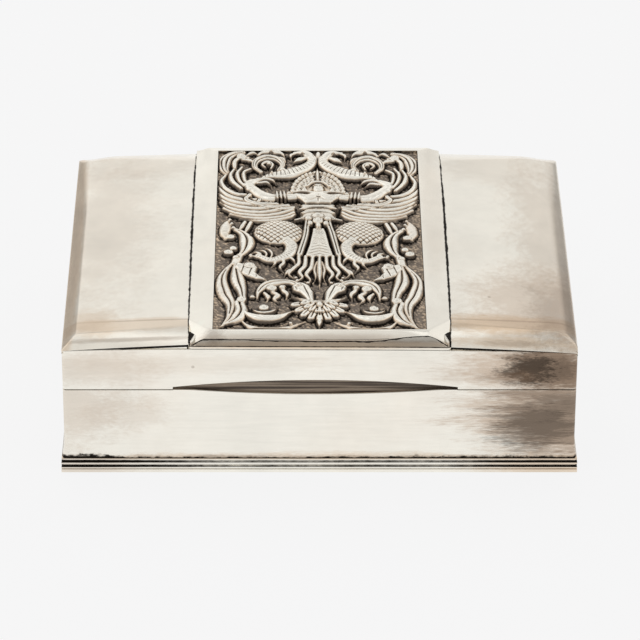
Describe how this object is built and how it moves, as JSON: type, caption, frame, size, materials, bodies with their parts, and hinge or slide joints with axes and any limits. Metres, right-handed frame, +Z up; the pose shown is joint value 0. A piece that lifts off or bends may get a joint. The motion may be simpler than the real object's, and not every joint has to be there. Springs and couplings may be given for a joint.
{
  "type": "table box",
  "caption": "Rectangular sheet-silver table box with reeded plinth, rear-hinged vaulted lid, framed relief panel over the middle, thumb slot at the front and wooden lining.",
  "frame": {"origin": "middle of the underside of the bottom plate, on the surface that the box stands on", "axes": "+X to the right seen from the front, +Y from the front to the hinge at the back, +Z up"},
  "size_m": [0.1824, 0.1444, 0.0567],
  "materials": {
    "polished_silver": "worn hand polish with warm tarnish",
    "chased_silver": "relief with dark oxidised ground and polished high points",
    "hinge_silver": "satin, tarnished in the joints",
    "lining_wood": "waxed brown wood with straight grain"
  },
  "bodies": {
    "base": {"base_front": "polished_silver", "base_back": "polished_silver", "base_left": "polished_silver", "base_right": "polished_silver", "base_floor": "polished_silver", "plinth_front": "polished_silver", "plinth_back": "polished_silver", "plinth_left": "polished_silver", "plinth_right": "polished_silver", "lining_floor": "lining_wood", "lining_front": "lining_wood", "lining_back": "lining_wood", "lining_left": "lining_wood", "lining_right": "lining_wood", "base_knuckles": "hinge_silver", "hinge_pin": "hinge_silver"},
    "lid": {"rim_front": "polished_silver", "rim_back": "polished_silver", "rim_left": "polished_silver", "rim_right": "polished_silver", "left_panel": "polished_silver", "right_panel": "polished_silver", "strap_frame": "polished_silver", "relief_plate": "chased_silver", "lid_lining_top": "lining_wood", "lid_lining_front": "lining_wood", "lid_lining_back": "lining_wood", "lid_lining_left": "lining_wood", "lid_lining_right": "lining_wood", "lid_knuckles": "hinge_silver"}
  },
  "joints": [
    {"name": "lid_hinge", "type": "hinge", "parent": "base", "child": "lid", "pos_m": [0, 0.0704, 0.0333], "axis": [-1, 0, 0], "range_deg": [0, 98]}
  ]
}
